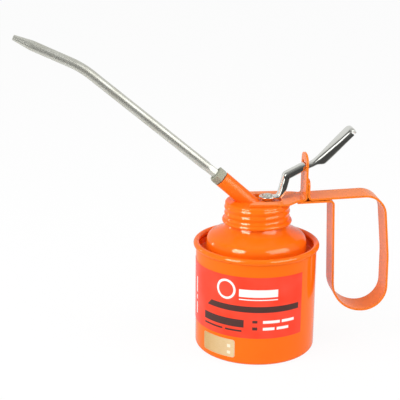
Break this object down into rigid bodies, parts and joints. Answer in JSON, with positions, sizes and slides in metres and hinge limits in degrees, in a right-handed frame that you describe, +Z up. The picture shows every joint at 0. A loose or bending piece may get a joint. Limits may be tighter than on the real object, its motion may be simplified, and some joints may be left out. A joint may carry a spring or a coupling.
{
  "type": "pump oil can",
  "caption": "Hand pump oil can: drawn can with domed shoulder, screwed pump head with strap handle, rocking thumb lever and long bent spout.",
  "frame": {"origin": "on the can's axis, in the plane of the flat face that it stands on", "axes": "+Z up along the can's axis, +X towards the handle, -X towards the spout; the handle, lever and spout lie in the plane Y = 0"},
  "size_m": [0.2423, 0.0834, 0.209],
  "materials": {
    "orange_paint": "gloss enamel",
    "label_red": "satin printed sheet",
    "foil_gold": "printed foil sheet",
    "chrome": "bright plated",
    "dull_nickel": "dull plated",
    "plain_steel": "plain drawn",
    "brass": "turned",
    "black_rubber": "matte",
    "seal_leather": "oiled"
  },
  "bodies": {
    "can": {"can_body": "orange_paint", "can_shoulder": "orange_paint", "front_label": "label_red", "foil_label": "foil_gold"},
    "gasket": {"cap_gasket": "black_rubber"},
    "head": {"screw_cap": "orange_paint", "pump_bracket": "orange_paint", "handle_loop": "orange_paint", "spout_socket": "orange_paint", "spout_nut": "dull_nickel", "spout_ferrule": "brass", "spout_pipe": "dull_nickel", "delivery_ball": "plain_steel", "delivery_spring": "plain_steel", "gland_nut": "brass", "gland_packing": "black_rubber", "pump_barrel": "plain_steel", "pump_spring": "plain_steel", "barrel_foot": "brass", "foot_ball": "plain_steel", "ball_cage": "plain_steel", "suction_tube": "plain_steel", "strainer": "plain_steel"},
    "rod": {"pump_rod": "plain_steel", "piston": "brass", "piston_seal": "seal_leather", "piston_nut": "plain_steel"},
    "lever": {"lever": "chrome"}
  },
  "joints": [
    {"name": "cap_rise", "type": "slide", "parent": "can", "child": "gasket", "axis": [0, 0, 1], "range_m": [0, 0.0118]},
    {"name": "cap_turn", "type": "hinge", "parent": "gasket", "child": "head", "pos_m": [0, 0, 0.0992], "axis": [0, 0, 1], "range_deg": [0, 1080]},
    {"name": "plunger_slide", "type": "slide", "parent": "head", "child": "rod", "axis": [0, 0, 1], "range_m": [0, 0.01], "stiffness_N_per_m": 300, "springref_m": -0.01, "deforming": ["pump_spring"]},
    {"name": "lever_rock", "type": "hinge", "parent": "rod", "child": "lever", "pos_m": [0.0067, 0, 0.10265], "axis": [0, 1, 0], "range_deg": [0, 19.1]}
  ],
  "couplings": [
    {"joint": "cap_rise", "follows": "cap_turn", "m_per_rad": 0.0006207},
    {"joint": "lever_rock", "follows": "plunger_slide", "rad_per_m": 33.1}
  ]
}
